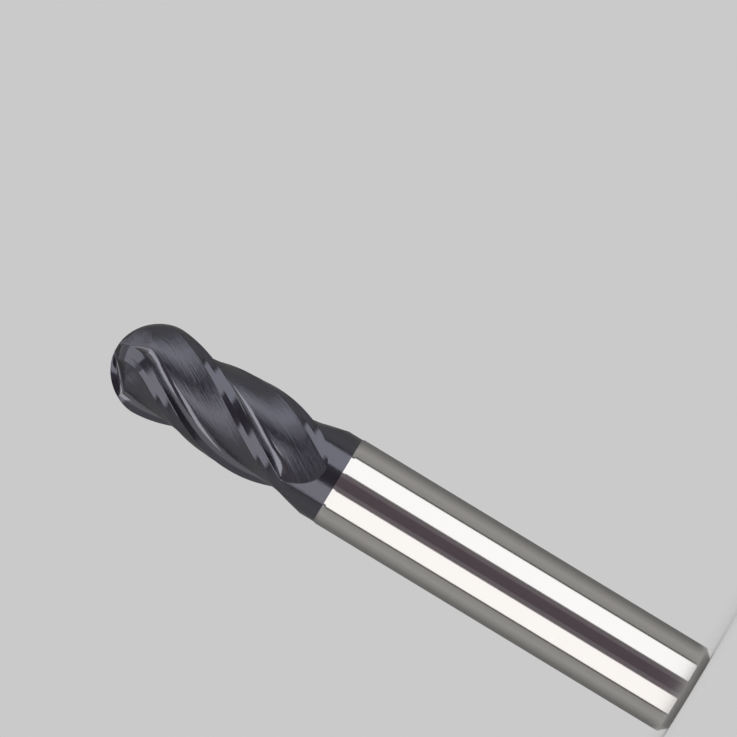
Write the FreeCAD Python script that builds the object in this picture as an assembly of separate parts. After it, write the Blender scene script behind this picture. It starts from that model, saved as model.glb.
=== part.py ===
import FreeCAD, Part
import math
import os

# Ball nose end mill with four right-hand flutes, ground from one rod of cemented carbide.
# It stands on its shank end: z = 0 is that end face, +Z runs along the axis to the ball nose.
# All sizes in millimetres and degrees.

DIAMETER = 12.0          # cutting diameter and shank diameter, equal on this tool
LENGTH = 83.0            # shank end to the tip of the ball
CUTTING_LENGTH = 26.0    # tip to the place where the cutting edges end
RUN_OUT = 4.05           # how far the flutes fade out past that place
RUN_OUT_RAMP = 4.0       # length over which a flute rises out of the rod
RUN_OUT_PEAK = 25.0      # degrees of turn behind the edge where the run-out reaches farthest
TEETH = 4
HELIX = 33.0             # helix angle at the cutting diameter, right-hand
BALL_TWIST = 0.55        # how much of that twist is left between ball equator and tip
END_CHAMFER = 1.0        # 45 degree chamfer on the shank end
SHANK_LENGTH = 51.0      # ground full-size shank, up to the coated cutting end
NECK_DROP = 0.10         # the cutting end tapers back to this much under the shank, in radius
SHOULDER = 0.4           # length of the small cone from the neck to the shank

MARGIN = 1.2             # narrow round strip left on each cutting edge, degrees of turn
PRIMARY_LAND = 12.0      # first relief behind the edge: how far it reaches, degrees of turn
PRIMARY_RELIEF = 11.5    # and how steeply it falls
SECONDARY_LAND = 20.0    # second relief: reaches to here, where the back of the flute begins
SECONDARY_RELIEF = 10.7
CORE_DIAMETER = 8.94     # the flutes leave this core
ROOT_FILLET = 1.2        # radius in the flute bottom
RAKE = -15.0             # the face under each cutting edge leans forward by this much
BACK_BULGE = 0.07        # how far the back of a tooth swells out, as a share of its width

GASH_START = 27.0        # angle above the ball equator where the gashes meet the flute bottom
GASH_LEAN = 13.0         # the gash reaches this much higher on the back of the tooth ahead
GASH_CENTRE = 0.6        # the gashes end at this distance from the axis
GASH_FILLET = 0.27       # radius in the gash bottom near the tip
TIP_FADE = 72.0          # from this angle up to TIP_END all the grinding runs out at the tip
TIP_END = 86.0

FLUTE_START = 1.3        # the flute skins begin this far below the run-out, clear of the rod
FINE_REACH = 1.5         # sections stand close together up to this height above the edge ends
FINE_STEP = 0.8          # distance between sections there
COARSE_STEP = 2.4        # and from there to the ball
LOW_STEP = 9.0           # degrees between sections on the ball below the gashes
HIGH_STEP = 5.0          # and along the gashes

R = DIAMETER / 2.0
CENTRE = LENGTH - R                  # height of the ball centre
CUSP = LENGTH - CUTTING_LENGTH       # height where the cutting edges end
TWIST = math.degrees(math.tan(math.radians(HELIX)) / R)      # degrees of turn per mm of height
PITCH = 360.0 / TEETH
CORE = CORE_DIAMETER / DIAMETER
V = FreeCAD.Vector


def polar(radius, angle):
    """A point of the flat section, angle in degrees."""
    a = math.radians(angle)
    return V(radius * math.cos(a), radius * math.sin(a), 0)


def turned(v, angle):
    """A flat vector turned by an angle in degrees."""
    a = math.radians(angle)
    return V(v.x * math.cos(a) - v.y * math.sin(a), v.x * math.sin(a) + v.y * math.cos(a), 0)


def flat_land(radius, relief, width):
    """Radius at the far side of a flat relief land that starts at this radius."""
    return radius * math.cos(math.radians(relief)) / math.cos(math.radians(width - relief))


def mix(a, b, share):
    return a + (b - a) * min(1.0, max(0.0, share))


def section(pitch, core, fillet, rake, bulge):
    """Control points of the ground surface between one cutting edge and the next.

    The edge behind is at angle 0 and the next one at the pitch, both at radius 1. In order:
    a lip that stands clear of the rod, first land, second land, back of the flute, root fillet
    and rake face.
    """
    land1 = min(PRIMARY_LAND, 0.30 * pitch)
    land2 = min(SECONDARY_LAND, 0.58 * pitch)
    margin = MARGIN * min(1.0, pitch / 30.0)
    r1 = flat_land(1.0, PRIMARY_RELIEF, land1 - margin)
    r2 = flat_land(r1, SECONDARY_RELIEF, land2 - land1)
    edge = polar(1.0, margin)
    p1 = polar(r1, land1)
    p2 = polar(r2, land2)
    start = edge + (edge - p1) * (0.6 * margin / (land1 - margin))

    # rake face and the fillet that is tangent to it and to the core circle
    tip = polar(1.0, pitch)
    down = turned(tip * -1.0, -rake)
    side = turned(down, 90.0)
    reach = core + fillet
    mid = tip + side * fillet
    b = mid.dot(down)
    along = -b - math.sqrt(max(b * b - mid.dot(mid) + reach * reach, 0.0))
    along = max(along, 0.0)
    hub = mid + down * along
    q = tip + down * along
    to_q = q - hub
    sweep = 12.0 + math.degrees(to_q.getAngle(hub * -1.0))
    t = hub + turned(to_q, sweep)
    handle = 4.0 / 3.0 * math.tan(math.radians(sweep) / 4.0)
    f2 = q + turned(to_q, 90.0) * handle
    f1 = t + turned(t - hub, -90.0) * handle
    leave = turned(t - hub, 90.0)
    leave.normalize()
    chord = p2 - t
    b2 = t + leave * (chord.Length * 0.36)
    outward = turned(chord, 90.0)
    if outward.dot(p2) < 0:
        outward = outward * -1.0
    b1 = p2 - chord * 0.33 + outward * bulge
    over = tip - down * 0.03
    lip = polar(1.03, 0.3 * margin)
    return [lip, start, p1, p2, b1, b2, t, f1, f2, q, over]


def head_radius(height):
    """Radius over the cutting edges; the head tapers back a little from the ball to the neck."""
    return R - NECK_DROP * (CENTRE - height) / (CENTRE - SHANK_LENGTH)


def azimuth(height):
    """Turn of the cutting edge about the axis at a height; the twist eases off over the ball."""
    if height <= CENTRE:
        return TWIST * (height - CUSP)
    climb = (height - CENTRE) / R
    eased = climb - (1.0 - BALL_TWIST) * climb * climb
    return TWIST * (CENTRE - CUSP + R * eased)


def faded(point, down):
    """A section point lifted out of the rod where the flutes run out, down = mm past the cusp."""
    radius = point.Length
    angle = math.degrees(math.atan2(point.y, point.x))
    if angle < RUN_OUT_PEAK:
        end = RUN_OUT * math.sqrt(1.0 - min(1.0, 1.0 - angle / RUN_OUT_PEAK) ** 2)
    else:
        end = RUN_OUT * max(0.0, 1.0 - ((angle - RUN_OUT_PEAK) / (PITCH - RUN_OUT_PEAK)) ** 1.7)
    ramp = mix(1.0, RUN_OUT_RAMP, angle / RUN_OUT_PEAK)
    climb = (down - end + ramp) / ramp
    if climb <= 0.0:
        return point
    lift = climb * climb if climb < 1.0 else 2.0 * climb - 1.0
    depth = max(1.0 - radius, 0.02)
    return point * ((radius + depth * lift) / radius)


def station_on_rod(height):
    """Control points of one flute at a height on the straight part."""
    flat = section(PITCH, CORE, ROOT_FILLET / R, RAKE, BACK_BULGE)
    out = []
    for p in flat:
        f = faded(p, CUSP - height)
        a = math.radians(azimuth(height)) - math.atan2(f.y, f.x)
        radius = head_radius(height) * f.Length
        out.append(V(radius * math.cos(a), radius * math.sin(a), height))
    return out


def gash_core(angle):
    """Depth of the gash bottom seen from the ball centre: a straight line that falls away outwards."""
    a0 = math.radians(GASH_START)
    x0, y0 = CORE, CORE * math.tan(a0)
    x1 = GASH_CENTRE / R
    y1 = math.sqrt(1.0 - x1 * x1)
    slope = (y1 - y0) / (x1 - x0)
    a = math.radians(angle)
    return (y0 - slope * x0) / (math.sin(a) - slope * math.cos(a))


def ball_section(angle, gashed):
    """Flat section on the cone that rises by this angle: a plain flute, or one opened by a gash."""
    c = math.cos(math.radians(angle))
    if not gashed:
        return section(PITCH * c, CORE / c, ROOT_FILLET / R, RAKE, BACK_BULGE)
    share = max(0.0, (angle - GASH_START) / (TIP_FADE - GASH_START))
    fillet = mix(ROOT_FILLET, GASH_FILLET, share ** 0.5) / R
    bulge = mix(BACK_BULGE, 0.0, share ** 0.5)
    return section(PITCH * c, gash_core(angle), fillet, mix(RAKE, 2.0, share), bulge)


def station_on_ball(angle, gashed):
    """Control points of one flute over the ball. The gash crease leans, so each has its own angle."""
    out = []
    for i in range(11):
        lean = GASH_LEAN * min(1.0, max(0.0, (6 - i) / 3.0))
        if gashed:
            after = (angle - GASH_START) / (TIP_END - GASH_START)
            rise = mix(GASH_START + lean, TIP_END, after)
            p = ball_section(rise, True)[i]
            if 0.0 < lean < GASH_LEAN and after < 0.25:
                plain = ball_section(rise, False)[i]
                p = plain + (p - plain) * (after / 0.25)
        else:
            rise = angle * (GASH_START + lean) / GASH_START
            p = ball_section(rise, False)[i]
        fade = max(0.0, rise - TIP_FADE) / (TIP_END - TIP_FADE)
        up = math.radians(rise)
        radius = R * (p.Length + 0.06 * fade * fade)
        a = math.radians(azimuth(CENTRE + R * math.sin(up))) - math.atan2(p.y, p.x) / math.cos(up)
        flat = radius * math.cos(up)
        out.append(V(flat * math.cos(a), flat * math.sin(a), CENTRE + radius * math.sin(up)))
    return out


def strip(columns, times):
    """One ground face: the columns are its control points across, followed along the tool."""
    poles = []
    for column in columns:
        curve = Part.BSplineCurve()
        curve.interpolate(Points=column, Parameters=times)
        poles.append(curve.getPoles())
        knots, mults = curve.getKnots(), curve.getMultiplicities()
    across = len(columns) - 1
    face = Part.BSplineSurface()
    face.buildFromPolesMultsKnots(poles, [across + 1, across + 1], mults, [0.0, 1.0], knots,
                                  False, False, across, 3)
    return face.toShape()


def ground_skin(stations, times):
    """The faces one flute leaves behind between its first and last station."""
    columns = [list(c) for c in zip(*stations)]
    faces = ((0, 2), (1, 3), (2, 4), (3, 7), (6, 10), (9, 11))
    return [strip(columns[a:b], times) for a, b in faces]


def spaced(start, end, step):
    n = max(2, int(math.ceil(abs(end - start) / step)))
    return [start + (end - start) * i / n for i in range(n + 1)]


def flute_shell():
    """Skin of one flute with its two relief lands, from the neck over the ball to the tip."""
    heights = spaced(CUSP - RUN_OUT - FLUTE_START, CUSP + FINE_REACH, FINE_STEP)[:-1]
    heights += spaced(CUSP + FINE_REACH, CENTRE, COARSE_STEP)[:-1]
    low = spaced(0.0, GASH_START, LOW_STEP)
    high = spaced(GASH_START, TIP_END, HIGH_STEP)
    stations = [station_on_rod(h) for h in heights] + [station_on_ball(a, False) for a in low]
    times = [h - CENTRE for h in heights] + [R * math.radians(a) for a in low]
    faces = ground_skin(stations, times)
    faces += ground_skin([station_on_ball(a, True) for a in high], [R * math.radians(a) for a in high])
    shell = Part.Shell(faces)
    shell.sewShape(1e-5)
    return shell


def rod():
    """The blank: shank with a chamfered end, a faintly smaller neck and a full ball."""
    outline = [V(0, 0, 0), V(R - END_CHAMFER, 0, 0), V(R, 0, END_CHAMFER),
               V(R, 0, SHANK_LENGTH - SHOULDER), V(R - NECK_DROP, 0, SHANK_LENGTH), V(R, 0, CENTRE)]
    edges = [Part.makeLine(a, b) for a, b in zip(outline, outline[1:])]
    half = math.radians(45.0)
    on_ball = V(R * math.cos(half), 0, CENTRE + R * math.sin(half))
    edges.append(Part.Arc(V(R, 0, CENTRE), on_ball, V(0, 0, LENGTH)).toShape())
    edges.append(Part.makeLine(V(0, 0, LENGTH), V(0, 0, 0)))
    return Part.Face(Part.Wire(edges)).revolve(V(0, 0, 0), V(0, 0, 1), 360)


def mill():
    blank = rod()
    skin = flute_shell()
    skins = []
    for i in range(TEETH):
        s = skin.copy()
        s.rotate(V(0, 0, 0), V(0, 0, 1), PITCH * i)
        skins.append(s)
    pieces, _ = blank.generalFuse(skins)
    return sorted(pieces.Solids, key=lambda x: x.Volume)[-1]


os.makedirs("parts", exist_ok=True)
mill().exportStep("parts/ball_nose_end_mill.step")
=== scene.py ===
import bpy
import numpy as np
from mathutils import Matrix


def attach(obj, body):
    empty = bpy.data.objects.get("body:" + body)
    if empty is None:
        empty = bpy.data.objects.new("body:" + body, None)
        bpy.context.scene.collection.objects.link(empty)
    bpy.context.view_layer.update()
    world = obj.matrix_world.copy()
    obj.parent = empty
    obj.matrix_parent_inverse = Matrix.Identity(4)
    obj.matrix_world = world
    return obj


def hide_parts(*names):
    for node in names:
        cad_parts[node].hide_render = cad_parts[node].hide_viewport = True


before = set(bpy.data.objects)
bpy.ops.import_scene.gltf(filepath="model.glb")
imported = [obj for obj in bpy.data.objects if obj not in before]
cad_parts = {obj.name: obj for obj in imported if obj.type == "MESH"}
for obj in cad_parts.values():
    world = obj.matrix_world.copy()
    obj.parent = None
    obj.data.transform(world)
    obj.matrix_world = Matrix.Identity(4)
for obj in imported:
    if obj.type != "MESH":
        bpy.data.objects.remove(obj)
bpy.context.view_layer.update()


# The mill: one rod of sintered tungsten carbide, ground from the solid in one piece. Its shank is
# plain with a chamfered end, then a small shoulder leads to the thinner neck. Four right-hand
# flutes run from the neck up over a full ball and end in gashes near the tip.

# lengths in millimetres and angles in degrees, as in the drawing; the mesh is turned to metres
R = 6.0                          # radius of the shank and of the ball
LENGTH = 83.0                    # shank end to the tip of the ball
CUTTING_LENGTH = 26.0            # tip to the place where the cutting edges end
CENTRE = LENGTH - R              # height of the ball centre
CUSP = LENGTH - CUTTING_LENGTH   # height where the cutting edges end
SHANK_LENGTH = 51.0              # full-size shank, up to the coated cutting end
SHOULDER = 0.4                   # length of the small cone between neck and shank
NECK_DROP = 0.10                 # how much thinner than the shank the neck is, in radius
END_CHAMFER = 1.0                # 45 degree chamfer on the shank end
TEETH, PITCH = 4, 90.0           # number of teeth, and the angle from one to the next
HELIX = 33.0                     # helix angle, right-hand
TWIST = np.degrees(np.tan(np.radians(HELIX)) / R)   # turn of an edge per mm of height
BALL_TWIST = 0.55                # how much of that twist is left between ball equator and tip
MARGIN = 1.2                     # narrow round strip on each cutting edge
PRIMARY_LAND, PRIMARY_RELIEF = 12.0, 11.5       # where the first relief land ends, and its fall
SECONDARY_LAND, SECONDARY_RELIEF = 20.0, 10.7   # the same for the second
CORE = 8.94 / 12.0               # core left by the flutes, as a share of the diameter
ROOT_FILLET = 1.2                # radius in the flute bottom
RAKE, TIP_RAKE = -15.0, 2.0      # rake angle along the rod, and near the tip
BACK_BULGE = 0.07                # how far a tooth's back swells out, as a share of its width
RUN_OUT = 4.05                   # how far the flutes fade out past the ends of the edges
RUN_OUT_RAMP = 4.0               # length over which a flute rises out of the rod
RUN_OUT_PEAK = 25.0              # angle behind the edge where the run-out reaches farthest
RUN_OUT_POWER = 1.7              # how it ends from there on: 1 is straight, more is rounder
GASH_START = 27.0                # angle above the ball equator where the gashes begin
GASH_LEAN = 13.0                 # how much higher the crease reaches on the tooth's back
GASH_CENTRE = 0.6                # the gashes end at this distance from the axis
GASH_FILLET = 0.27               # radius in the gash bottom near the tip
GASH_BLEND = 0.25                # share of the gash in which the tooth's back turns into it
TIP_FADE, TIP_END = 72.0, 86.0   # between these angles all the grinding runs out at the tip
TIP_LIFT = 0.06                  # how far it is lifted there, as a share of the radius

# where the pitch gets small on the ball, the lands take no more than these shares of it, and
# the margin shrinks below this pitch
LAND_SHARES = (0.30, 0.58)
FULL_MARGIN_PITCH = 30.0

# the root circle goes this far past the point under the rake face, and the two points that
# shape the back stand at these shares of its width from its ends
PAST_BOTTOM = 12.0
BACK_FOOT, BACK_TOP = 0.36, 0.33


def turn(angle):
    """Unit arrow of the flat section at this angle in degrees, as a complex number."""
    return np.exp(1j * np.radians(angle))


def mix(a, b, share):
    """Straight blend from a to b as the share goes from 0 to 1, held outside that range."""
    return a + (b - a) * np.clip(share, 0.0, 1.0)


def land_end(relief, width):
    """Radius at the far end of a flat land over the radius where it starts.

    The cosine of the relief angle over the cosine of the land's width less the relief.
    """
    return np.cos(np.radians(relief)) / np.cos(np.radians(width - relief))


def section(pitch, core, fillet, rake, bulge):
    """Eleven control points of the profile from one cutting edge to the next, radii over R.

    In order: the edge, the end of its round margin, the end of the first relief land, the end of
    the second, two points that shape the back of the flute, where the root fillet starts, its two
    handles, where it ends, and the next edge. The lands are straight lines that fall away by
    their relief angles. The rake face is a straight line from the edge, turned from the radius by
    the rake: below 0 its foot stands ahead of the edge, out in the flute. The fillet is a circle
    that touches the rake face and the core circle.
    """
    given = [np.atleast_1d(value) for value in (pitch, core, fillet, rake, bulge)]
    pitch, core, fillet, rake, bulge = np.broadcast_arrays(*given)
    land1 = np.minimum(PRIMARY_LAND, LAND_SHARES[0] * pitch)
    land2 = np.minimum(SECONDARY_LAND, LAND_SHARES[1] * pitch)
    margin = MARGIN * np.minimum(1.0, pitch / FULL_MARGIN_PITCH)
    r1 = land_end(PRIMARY_RELIEF, land1 - margin)
    r2 = r1 * land_end(SECONDARY_RELIEF, land2 - land1)
    p1, p2, tip = r1 * turn(land1), r2 * turn(land2), turn(pitch)
    down = -tip * turn(-rake)

    # the fillet's hub moves down beside the rake face until its circle touches the core
    mid = tip + down * 1j * fillet
    b = (np.conj(mid) * down).real
    root = np.sqrt(np.maximum(b * b - abs(mid) ** 2 + (core + fillet) ** 2, 0.0))
    along = np.maximum(-b - root, 0.0)
    hub, q = mid + down * along, tip + down * along
    sweep = PAST_BOTTOM + abs(np.degrees(np.angle((q - hub) / -hub)))
    t = hub + (q - hub) * turn(sweep)
    handle = 4.0 / 3.0 * np.tan(np.radians(sweep) / 4.0)
    f1, f2 = t - (t - hub) * 1j * handle, q + (q - hub) * 1j * handle

    # the back leaves the fillet along its tangent and swells out before the second land
    leave, chord = (t - hub) * 1j / abs(t - hub), p2 - t
    b2 = t + leave * abs(chord) * BACK_FOOT
    outward = chord * 1j
    outward = np.where((np.conj(outward) * p2).real < 0, -outward, outward)
    b1 = p2 - chord * BACK_TOP + outward * bulge
    return np.stack([turn(0.0 * pitch), turn(margin), p1, p2, b1, b2, t, f1, f2, q, tip], axis=-1)


def across(strips):
    """Weights that turn the control points into mesh columns, and the columns where a strip starts.

    Each strip is (first control, last control, number of columns): a straight line for two
    controls and a cubic Bezier curve for four.
    """
    rows, starts = [], []
    for first, last, n in strips:
        starts.append(len(rows))
        s = np.arange(n) / n
        if last - first == 1:
            curve = [1 - s, s]
        else:
            curve = [(1 - s) ** 3, 3 * s * (1 - s) ** 2, 3 * s ** 2 * (1 - s), s ** 3]
        for row in np.stack(curve, axis=1):
            full = np.zeros(11)
            full[first:last + 1] = row
            rows.append(full)
    return np.array(rows), starts


def azimuth(height):
    """Turn of a cutting edge about the axis: steady along the rod, easing off over the ball.

    On the rod the twist times the height above the cusp. On the ball the climb, from 0 at the
    equator to 1 at the tip, has a share of its square taken off before it is turned to height.
    """
    climb = np.clip((height - CENTRE) / R, 0.0, 1.0)
    on_ball = TWIST * (CENTRE - CUSP + R * (climb - (1.0 - BALL_TWIST) * climb * climb))
    return np.where(height <= CENTRE, TWIST * (height - CUSP), on_ball)


def head_radius(height):
    """Radius of the rod above the shoulder, which tapers back from the ball to the neck.

    The full radius less the neck drop times the share of the way down to the shank.
    """
    return R - NECK_DROP * (CENTRE - height) / (CENTRE - SHANK_LENGTH)


def run_out(angle):
    """How far past the end of the cutting edge a flute reaches, at an angle behind the edge.

    A quarter ellipse up to the peak, then one less a power of the way on to the next edge.
    """
    before = np.sqrt(1.0 - np.clip(1.0 - angle / RUN_OUT_PEAK, 0.0, 1.0) ** 2)
    onward = np.clip((angle - RUN_OUT_PEAK) / (PITCH - RUN_OUT_PEAK), 0.0, 1.0)
    after = 1.0 - onward ** RUN_OUT_POWER
    return RUN_OUT * np.where(angle < RUN_OUT_PEAK, before, after)


def around(radius, angle, height):
    """Points at a radius and an angle in degrees about the axis."""
    return np.stack([radius * np.cos(np.radians(angle)), radius * np.sin(np.radians(angle)),
                     height + 0.0 * radius], axis=-1)


def rod_rows(flat, shares):
    """Fluted rod: each column starts on its own run-out point and rises to the ball equator.

    Near the run-out the profile is lifted to the rod's radius by the square of the way left,
    which is how a round wheel leaves the bar.
    """
    radius, angle = abs(flat), np.degrees(np.angle(flat))
    end = CUSP - run_out(angle)
    height = end + (CENTRE - end) * shares[:, None]
    ramp = mix(1.0, RUN_OUT_RAMP, angle / RUN_OUT_PEAK)
    climb = np.clip(1.0 - (height - end) / ramp, 0.0, 1.0)
    lifted = radius + (1.0 - radius) * climb ** 2
    return around(head_radius(height) * lifted, azimuth(height) - angle, height)


def gash_core(angle):
    """Bottom of the gash seen from the ball centre: a straight line that falls away outwards.

    The line goes from the core where the gash starts to the ball beside the axis. The distance
    is that at which a ray from the ball centre, rising by the angle, meets it.
    """
    x0, y0 = CORE, CORE * np.tan(np.radians(GASH_START))
    x1 = GASH_CENTRE / R
    slope = (np.sqrt(1.0 - x1 * x1) - y0) / (x1 - x0)
    return (y0 - slope * x0) / (np.sin(np.radians(angle)) - slope * np.cos(np.radians(angle)))


def ball_rows(angles, gashed, weights):
    """Ball: the profile is laid on cones that rise from the equator to the tip.

    A cone that rises by an angle carries the same profile with its pitch shrunk by the cosine.
    Above the crease the root sinks to the gash bottom, and the crease leans up the back, by a
    share of its own at each control point. Nothing stands out past the ball.
    """
    lean = GASH_LEAN * np.array([0, 0, 0.5, 1, 2 / 3, 1 / 3, 0, 0, 0, 0, 0])
    out = []
    for i in range(11):
        if gashed:
            after = (angles - GASH_START) / (TIP_END - GASH_START)
            rise = mix(GASH_START + lean[i], TIP_END, after)
        else:
            rise = angles * (GASH_START + lean[i]) / GASH_START
        c = np.cos(np.radians(rise))
        plain = section(PITCH * c, CORE / c, ROOT_FILLET / R, RAKE, BACK_BULGE)[:, i]
        if gashed:
            share = np.maximum(0.0, (rise - GASH_START) / (TIP_FADE - GASH_START))
            root = np.minimum(share, 1.0) ** 0.5
            cut = section(PITCH * c, gash_core(rise), mix(ROOT_FILLET, GASH_FILLET, root) / R,
                          mix(RAKE, TIP_RAKE, share), mix(BACK_BULGE, 0.0, root))[:, i]
            on_back = i in (4, 5)
            p = plain + (cut - plain) * np.clip(after / GASH_BLEND, 0, 1) if on_back else cut
        else:
            p = plain
        fade = np.maximum(0.0, rise - TIP_FADE) / (TIP_END - TIP_FADE)
        radius = R * (abs(p) + TIP_LIFT * fade * fade)
        turned = azimuth(CENTRE + R * np.sin(np.radians(rise))) - np.degrees(np.angle(p)) / c
        out.append(around(radius * c, turned, CENTRE + radius * np.sin(np.radians(rise))))
    points = np.einsum("jc,crx->rjx", weights, np.array(out))
    middle = np.array([0.0, 0.0, CENTRE])
    far = np.linalg.norm(points - middle, axis=-1, keepdims=True)
    return middle + (points - middle) * np.minimum(1.0, R / far)


# strips across one tooth: margin, first land, second land, back, root and rake face
strips = [(0, 1, 2), (1, 2, 10), (2, 3, 12), (3, 6, 26), (6, 9, 18), (9, 10, 12)]
weights, strip_starts = across(strips)
flat = (section(PITCH, CORE, ROOT_FILLET / R, RAKE, BACK_BULGE)[0] * weights).sum(axis=1)

# rows along the rod stand closer together in the lowest fifth, where the flutes run out, and
# rows on the ball about a degree apart below the crease and above it
shares = np.concatenate([np.linspace(0, 0.2, 40)[:-1], np.linspace(0.2, 1, 64)])
fluted = rod_rows(flat, shares)
low = ball_rows(np.linspace(0, GASH_START, 24)[1:], False, weights)
high = ball_rows(np.linspace(GASH_START, TIP_END, 56)[1:], True, weights)

# plain rod under the run-outs: columns fan out from the run-out curve to an even spacing, which
# they have 0.7 mm under its lowest point, and turn by the lag on the way
count = len(flat)
exit_angle = np.degrees(np.unwrap(np.arctan2(fluted[0, :, 1], fluted[0, :, 0])))
lag = 12.0
even_angle = exit_angle[0] - lag - PITCH * np.arange(count) / count
neck_top = CUSP - RUN_OUT - 0.7
down = (np.linspace(1, 0, 12)[:-1] ** 1.3)[:, None]
neck_height = fluted[0, :, 2] + (neck_top - fluted[0, :, 2]) * down
neck = around(head_radius(neck_height), exit_angle + (even_angle - exit_angle) * down, neck_height)

# shank and shoulder as rings of (radius, height), from the floor up
profile = [(R - END_CHAMFER, 0.0), (R, END_CHAMFER)]
profile += [(R, z) for z in np.linspace(END_CHAMFER, SHANK_LENGTH - SHOULDER, 14)[1:]]
above_shoulder = SHANK_LENGTH + 0.9
profile += [(R - NECK_DROP, SHANK_LENGTH), (head_radius(above_shoulder), above_shoulder)]
plain = np.array([around(np.full(count, r), even_angle, z) for r, z in profile])

# the closed spot at the tip is left as part of the ball, in two rings and a point
tip_angles = np.degrees(np.arctan2(high[-1, :, 1], high[-1, :, 0]))
cap = []
for rise in (87.5, 89.0):
    out, up = R * np.cos(np.radians(rise)), R * np.sin(np.radians(rise))
    cap.append(around(np.full(count, out), tip_angles, CENTRE + up))
quarter = np.concatenate([plain, neck, fluted, low, high, cap])
shoulder_row = len(plain) - 2
exit_row = len(plain) + len(neck)
crease_row = exit_row + len(fluted) + len(low) - 1


def four_times(one):
    """The same columns repeated for each tooth, turned back by the pitch each time."""
    spins = []
    for i in range(TEETH):
        c, s = np.cos(np.radians(-PITCH * i)), np.sin(np.radians(-PITCH * i))
        spins.append(one @ np.array([[c, s, 0], [-s, c, 0], [0, 0, 1]]))
    return np.concatenate(spins, axis=1)


def closed_mesh(name, grid, bottom, top):
    """Mesh of a grid in mm whose rows are rings, closed by one point below and one above."""
    rows, cols = grid.shape[:2]
    verts = np.concatenate([grid.reshape(-1, 3), [bottom], [top]]) * 0.001
    index = np.arange(rows * cols).reshape(rows, cols)
    nxt = np.roll(index, -1, axis=1)
    quads = np.stack([index[:-1], index[1:], nxt[1:], nxt[:-1]], axis=-1).reshape(-1, 4)
    first = np.stack([index[0], nxt[0], np.full(cols, rows * cols)], axis=-1)
    last = np.stack([nxt[-1], index[-1], np.full(cols, rows * cols + 1)], axis=-1)
    mesh = bpy.data.meshes.new(name)
    mesh.from_pydata(verts.tolist(), [], quads.tolist() + first.tolist() + last.tolist())
    mesh.polygons.foreach_set("use_smooth", np.ones(len(mesh.polygons), dtype=bool))
    return mesh


grid = four_times(quarter)
mesh = closed_mesh("ball_nose_end_mill", grid, (0, 0, 0), (0, 0, LENGTH))
mill = bpy.data.objects.new("mill", mesh)
bpy.context.scene.collection.objects.link(mill)

# sharp edges: rims of chamfer and shoulder, the run-out curve where it is ground, the crease of
# the gash in root and back, and the borders of margin and lands along each tooth
rows, cols = grid.shape[:2]
pairs = np.empty(len(mesh.edges) * 2, dtype=np.int64)
mesh.edges.foreach_get("vertices", pairs)
pairs = pairs.reshape(-1, 2)
row, col = pairs // cols, (pairs % cols) % count
real = (pairs < rows * cols).all(axis=1)
same_row, same_col = row[:, 0] == row[:, 1], col[:, 0] == col[:, 1]
sharp = real & same_row & np.isin(row[:, 0], [0, 1, shoulder_row - 1, shoulder_row])
ground = (col.min(axis=1) >= strip_starts[1]) | (col.max(axis=1) > strip_starts[1] + 1)
sharp |= real & same_row & (row[:, 0] == exit_row) & ground
sharp |= real & same_row & (row[:, 0] == crease_row) & (col.max(axis=1) >= strip_starts[3])
on_edge = np.isin(col[:, 0], strip_starts[:4])
sharp |= real & same_col & on_edge & (row.min(axis=1) >= exit_row) & (row.max(axis=1) < rows - 3)
mesh.attributes.new("sharp_edge", "BOOLEAN", "EDGE").data.foreach_set("value", sharp)

# UV of the ground faces: across the flute and along it, in millimetres. Along is the mean length
# of the columns so far, across is measured on one row of the rod and held for all.
climbed = np.linalg.norm(np.diff(quarter, axis=0), axis=-1).mean(axis=1)
along = np.concatenate([[0.0], np.cumsum(climbed)])
measured = fluted[80]
step = np.linalg.norm(np.diff(measured, axis=0, append=measured[-1:]), axis=-1)
wide = np.concatenate([[0.0], np.cumsum(step)[:-1]])
loops = np.empty(len(mesh.loops), dtype=np.int64)
mesh.loops.foreach_get("vertex_index", loops)
loop_row, loop_col = np.minimum(loops // cols, rows - 1), loops % cols
u = wide[loop_col % count] + (loop_col // count) * (wide[-1] + 0.1)
uv = mesh.uv_layers.new(name="ground")
uv.data.foreach_set("uv", np.stack([u, along[loop_row]], axis=1).astype(np.float32).ravel())


def linear(text):
    """sRGB hex colour turned to linear light."""
    c = np.array([int(text[i:i + 2], 16) for i in (1, 3, 5)]) / 255.0
    return tuple(np.where(c <= 0.04045, c / 12.92, ((c + 0.055) / 1.055) ** 2.4)) + (1.0,)


def add(tree, kind, settings=None, **links):
    """Adds a node, sets its properties and its sockets, and links what is given as a socket.

    Sockets are named in lower case with low lines, or by number as _0, _1.
    """
    made = tree.nodes.new(kind)
    for key, value in (settings or {}).items():
        setattr(made, key, value)
    for key, value in links.items():
        names = {s.name.lower().replace(" ", "_"): s for s in reversed(made.inputs) if s.enabled}
        socket = made.inputs[int(key[1:])] if key[1:].isdigit() else names[key]
        if isinstance(value, bpy.types.NodeSocket):
            tree.links.new(value, socket)
        else:
            socket.default_value = value
    return made


def blank_material(name):
    """An empty material with its output, ready for nodes."""
    m = bpy.data.materials.new(name)
    m.use_nodes = True
    m.node_tree.nodes.clear()
    return m, m.node_tree


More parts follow.
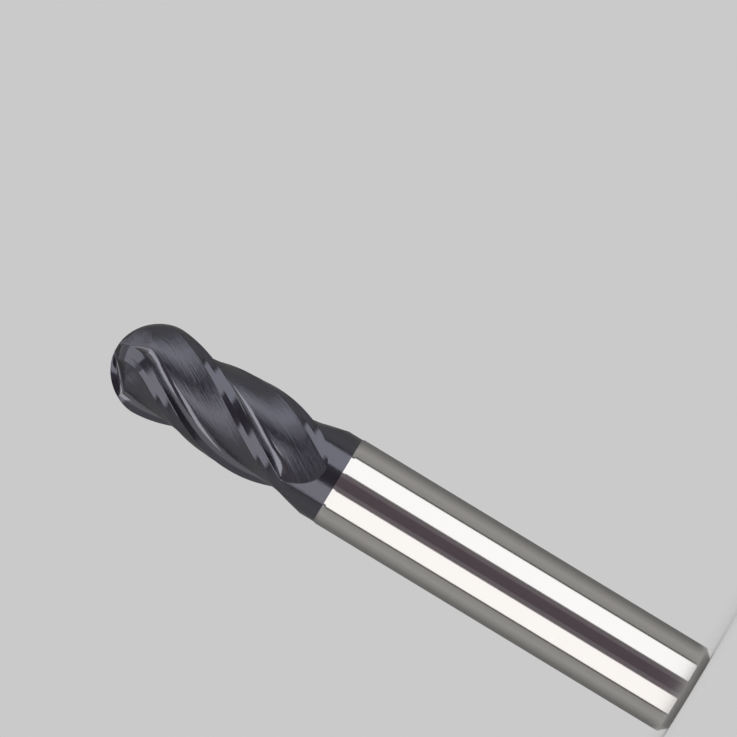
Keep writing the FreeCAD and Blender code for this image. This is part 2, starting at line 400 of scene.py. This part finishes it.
# Cemented carbide, centreless ground and polished: nearly a mirror, so the eye sees the lamps as
# long white bands. Fine lines round the axis soften them a little; they are drawn 0.11 mm apart,
# coarser than the real 0.01 to 0.02 mm, which no picture of the whole tool could hold.
carbide, tree = blank_material("cemented carbide ground bright")
place = add(tree, "ShaderNodeTexCoord")
stretch = add(tree, "ShaderNodeMapping", vector=place.outputs["Object"], scale=(20.0, 20.0, 9000.0))
lines = add(tree, "ShaderNodeTexNoise", vector=stretch.outputs[0], scale=1.0, detail=3.0,
            roughness=0.6)
tint = add(tree, "ShaderNodeMix", {"data_type": "RGBA"}, _0=lines.outputs["Fac"],
           _6=linear("#b9b6b5"), _7=linear("#c1bfbc"))
rough = add(tree, "ShaderNodeMapRange", value=lines.outputs["Fac"], from_min=0.3, from_max=0.7,
            to_min=0.055, to_max=0.10)
bump = add(tree, "ShaderNodeBump", height=lines.outputs["Fac"], strength=0.05, distance=0.00001)
shine = add(tree, "ShaderNodeBsdfPrincipled", base_color=tint.outputs[2], metallic=1.0,
            roughness=rough.outputs[0], normal=bump.outputs[0])
add(tree, "ShaderNodeOutputMaterial", surface=shine.outputs[0])


def coating(name, dark, light, low, high, depth):
    """Titanium aluminium nitride: a hard dark violet-grey film over the ground head.

    It keeps the grinding lines under it, which follow the flutes: dark and light are the colour
    between and on the lines, low and high the roughness, depth is how deep they are in metres.
    The lines are drawn 0.2 mm wide and about 7 mm long, ten times coarser than the real ones.
    The film reads as a tinted metal; a share of it is matt, which lifts the darkest reflections.
    """
    film, tree = blank_material(name)
    flow = add(tree, "ShaderNodeUVMap", {"uv_map": "ground"})
    stretch = add(tree, "ShaderNodeMapping", vector=flow.outputs[0], scale=(5.0, 0.15, 1.0))
    lines = add(tree, "ShaderNodeTexNoise", vector=stretch.outputs[0], scale=1.0, detail=4.0,
                roughness=0.65)
    tint = add(tree, "ShaderNodeMix", {"data_type": "RGBA"}, _0=lines.outputs["Fac"],
               _6=linear(dark), _7=linear(light))
    rough = add(tree, "ShaderNodeMapRange", value=lines.outputs["Fac"], from_min=0.3, from_max=0.7,
                to_min=low, to_max=high)
    bump = add(tree, "ShaderNodeBump", height=lines.outputs["Fac"], strength=0.25, distance=depth)
    shine = add(tree, "ShaderNodeBsdfPrincipled", base_color=tint.outputs[2], metallic=0.88,
                roughness=rough.outputs[0], normal=bump.outputs[0])
    add(tree, "ShaderNodeOutputMaterial", surface=shine.outputs[0])
    return film


# Neck, relief lands and rake face are ground fine, so they show clear patches of light and dark.
# The root is polished by the wheel's rim, and its film is given a lighter colour than the rest:
# a painted highlight that brightens the one bright line along each flute. The backs of the
# teeth are ground coarser, so their light is soft and streaked.
TIALN = "titanium aluminium nitride, "
FILM = ("#474953", "#59575d")
mesh.materials.append(carbide)
mesh.materials.append(coating(TIALN + "fine ground", *FILM, 0.07, 0.13, 0.00003))
mesh.materials.append(coating(TIALN + "coarse ground", *FILM, 0.16, 0.28, 0.0003))
# the root film's lighter colours are a painted highlight; its low roughness is the real polish
mesh.materials.append(coating(TIALN + "polished root", "#64646c", "#757479", 0.06, 0.10, 0.00003))

# slots by row and, past the run-out, by strip; the closing faces come last, bottom before top
BRIGHT, FINE, COARSE, POLISHED_PAINTED_HIGHLIGHT = range(4)
face = np.arange(len(mesh.polygons))
face_row, face_col = np.minimum(face // cols, rows), (face % cols) % count
strip = np.searchsorted(strip_starts, face_col, side="right") - 1
# strip 4, the root, takes the film whose lighter colour is a painted highlight
by_strip = np.array([FINE, FINE, FINE, COARSE, POLISHED_PAINTED_HIGHLIGHT, FINE])
slot = np.where(face_row < shoulder_row, BRIGHT, FINE)
slot = np.where(face_row >= exit_row, by_strip[strip], slot)
slot[-2 * cols:-cols] = BRIGHT
slot[-cols:] = FINE
mesh.polygons.foreach_set("material_index", slot.astype(np.int32))
mesh.update()

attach(mill, "root")
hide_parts("ball_nose_end_mill")


# Studio floor: a flat sheet of pale matt paper under the tool. It keeps the tool's shadow and
# fades out into the pale room, in metres from the tool.
SIDES, INNER, OUTER = 96, 0.03, 0.6
FADE_FROM, FADE_TO = 0.03, 0.12
angle = np.linspace(0, 2 * np.pi, SIDES + 1)[:-1]
ring = np.stack([np.cos(angle), np.sin(angle), 0 * angle], axis=1)
verts = np.concatenate([[[0, 0, 0]], ring * INNER, ring * OUTER])
one, two = np.arange(SIDES) + 1, np.arange(SIDES) + 1 + SIDES
faces = [(0, int(a), int(b)) for a, b in zip(one, np.roll(one, -1))]
faces += [tuple(map(int, f)) for f in zip(one, two, np.roll(two, -1), np.roll(one, -1))]
floor_mesh = bpy.data.meshes.new("floor")
floor_mesh.from_pydata(verts.tolist(), [], faces)
floor = bpy.data.objects.new("floor", floor_mesh)
bpy.context.scene.collection.objects.link(floor)
pale, tree = blank_material("pale matt paper")
place = add(tree, "ShaderNodeTexCoord")
far = add(tree, "ShaderNodeVectorMath", {"operation": "LENGTH"}, _0=place.outputs["Object"])
fade = add(tree, "ShaderNodeMapRange", {"interpolation_type": "SMOOTHSTEP"},
           value=far.outputs["Value"], from_min=FADE_FROM, from_max=FADE_TO, to_min=0.0, to_max=1.0)
matt = add(tree, "ShaderNodeBsdfDiffuse", color=linear("#cfcfcf"))
clear = add(tree, "ShaderNodeBsdfTransparent")
both = add(tree, "ShaderNodeMixShader", _0=fade.outputs[0], _1=matt.outputs[0], _2=clear.outputs[0])
add(tree, "ShaderNodeOutputMaterial", surface=both.outputs[0])
floor_mesh.materials.append(pale)

# Room and lamps: an even pale room, two tall soft boxes either side of the camera and a weaker
# one above. Cloths between them and cards round the back give the shank its dark and grey bands
# and the tool a dark outline; they show in the tool's reflections alone.
scene = bpy.context.scene
world = bpy.data.worlds.new("pale room")
world.use_nodes = True
world.node_tree.nodes.clear()
room = add(world.node_tree, "ShaderNodeBackground", color=linear("#cacaca"), strength=1.0)
add(world.node_tree, "ShaderNodeOutputWorld", surface=room.outputs[0])
scene.world = world

LOOK = 38.0   # the side of the tool that faces the camera, in degrees about its axis


def soft_box(name, turned, raised, colour, level, size=(0.48, 0.8), away=0.55, lift=0.14):
    """Area lamp that faces the tool, turned about its axis and raised by angles in degrees.

    Its power is its brightness level times pi times its area, so a bigger box is no dimmer.
    """
    lamp = bpy.data.lights.new(name, "AREA")
    lamp.shape, lamp.size, lamp.size_y = "RECTANGLE", size[0], size[1]
    lamp.color = colour
    lamp.energy = level * np.pi * size[0] * size[1]
    box = bpy.data.objects.new(name, lamp)
    a, r = np.radians(turned), np.radians(raised)
    out = away * np.cos(r)
    box.location = (out * np.cos(a), out * np.sin(a), lift + away * np.sin(r))
    box.rotation_euler = (np.pi / 2 - r, 0.0, a + np.pi / 2)
    box.visible_camera = False
    scene.collection.objects.link(box)


def card(name, first, last, colour, other, away, height=0.75):
    """Matt card that only shows in the tool's reflections, bent round it between two angles.

    It shades from one colour at the first angle to the other at the last.
    """
    matt_card, tree = blank_material(name)
    place = add(tree, "ShaderNodeUVMap", {"uv_map": "card"})
    parts = add(tree, "ShaderNodeSeparateXYZ", vector=place.outputs[0])
    tint = add(tree, "ShaderNodeMix", {"data_type": "RGBA"}, _0=parts.outputs[0],
               _6=linear(colour), _7=linear(other))
    matt = add(tree, "ShaderNodeBsdfDiffuse", color=tint.outputs[2])
    add(tree, "ShaderNodeOutputMaterial", surface=matt.outputs[0])
    folds = 12
    a = np.radians(np.linspace(first, last, folds + 1))
    ring = np.stack([away * np.cos(a), away * np.sin(a)], axis=1)
    verts = [(x, y, z) for z in (-0.2, height) for x, y in ring]
    quads = [(i, i + 1, i + folds + 2, i + folds + 1) for i in range(folds)]
    cloth = bpy.data.meshes.new(name)
    cloth.from_pydata(verts, [], quads)
    uv = cloth.uv_layers.new(name="card")
    where = [(i % (folds + 1) / folds, i // (folds + 1)) for quad in quads for i in quad]
    uv.data.foreach_set("uv", [x for pair in where for x in pair])
    cloth.materials.append(matt_card)
    made = bpy.data.objects.new(name, cloth)
    made.visible_camera = made.visible_diffuse = made.visible_shadow = False
    scene.collection.objects.link(made)


card("dark cloth", LOOK - 12.5, LOOK + 12.5, "#766a74", "#7a6e78", 0.50)
card("grey cloth", LOOK - 23.0, LOOK + 23.0, "#948c92", "#948c92", 0.52)
soft_box("soft box left", LOOK + 48.0, 0.0, (0.96, 0.98, 1.0), 1.34)
soft_box("soft box right", LOOK - 48.0, 0.0, (1.0, 0.985, 0.975), 1.29)
soft_box("soft box above", LOOK, 78.0, (1.0, 0.99, 0.98), 1.1, size=(0.6, 0.6), away=0.7, lift=0.05)
for hand, way in (("right", -1.0), ("left", 1.0)):
    for name, first, last, colour, other, away in (
            ("lamp frame", 70.0, 76.0, "#807c7c", "#807c7c", 0.62),
            ("side card", 76.0, 100.0, "#c8c8c6", "#d2d1ce", 0.64),
            ("far side card", 100.0, 138.0, "#d2d1ce", "#949492", 0.64),
            ("back card", 138.0, 180.0, "#949492", "#6c6c6c", 0.64)):
        card(name + " " + hand, LOOK + way * first, LOOK + way * last, colour, other, away)

# Camera: level with the tool, rolled so that the nose points up and to the left.
# It stands far off, so the shank's sides stay parallel as in the photograph.
ROLL, DISTANCE, FRAME_WIDTH, SENSOR = 31.25, 3.0, 0.0914, 36.0
a, r = np.radians(LOOK), np.radians(ROLL)
towards = np.array([np.cos(a), np.sin(a), 0.0])
side, up = np.array([-np.sin(a), np.cos(a), 0.0]), np.array([0.0, 0.0, 1.0])
right = -np.cos(r) * up + np.sin(r) * side
over = np.sin(r) * up + np.cos(r) * side
aim = 0.01385 * side + 0.05493 * up
lens = bpy.data.cameras.new("camera")
lens.sensor_width = SENSOR
lens.lens = SENSOR * DISTANCE / FRAME_WIDTH
camera = bpy.data.objects.new("camera", lens)
spot = aim + DISTANCE * towards
turned_to = [[right[i], over[i], towards[i], spot[i]] for i in range(3)]
camera.matrix_world = Matrix(turned_to + [[0, 0, 0, 1]])
scene.collection.objects.link(camera)
scene.camera = camera
scene.view_settings.view_transform = "Standard"
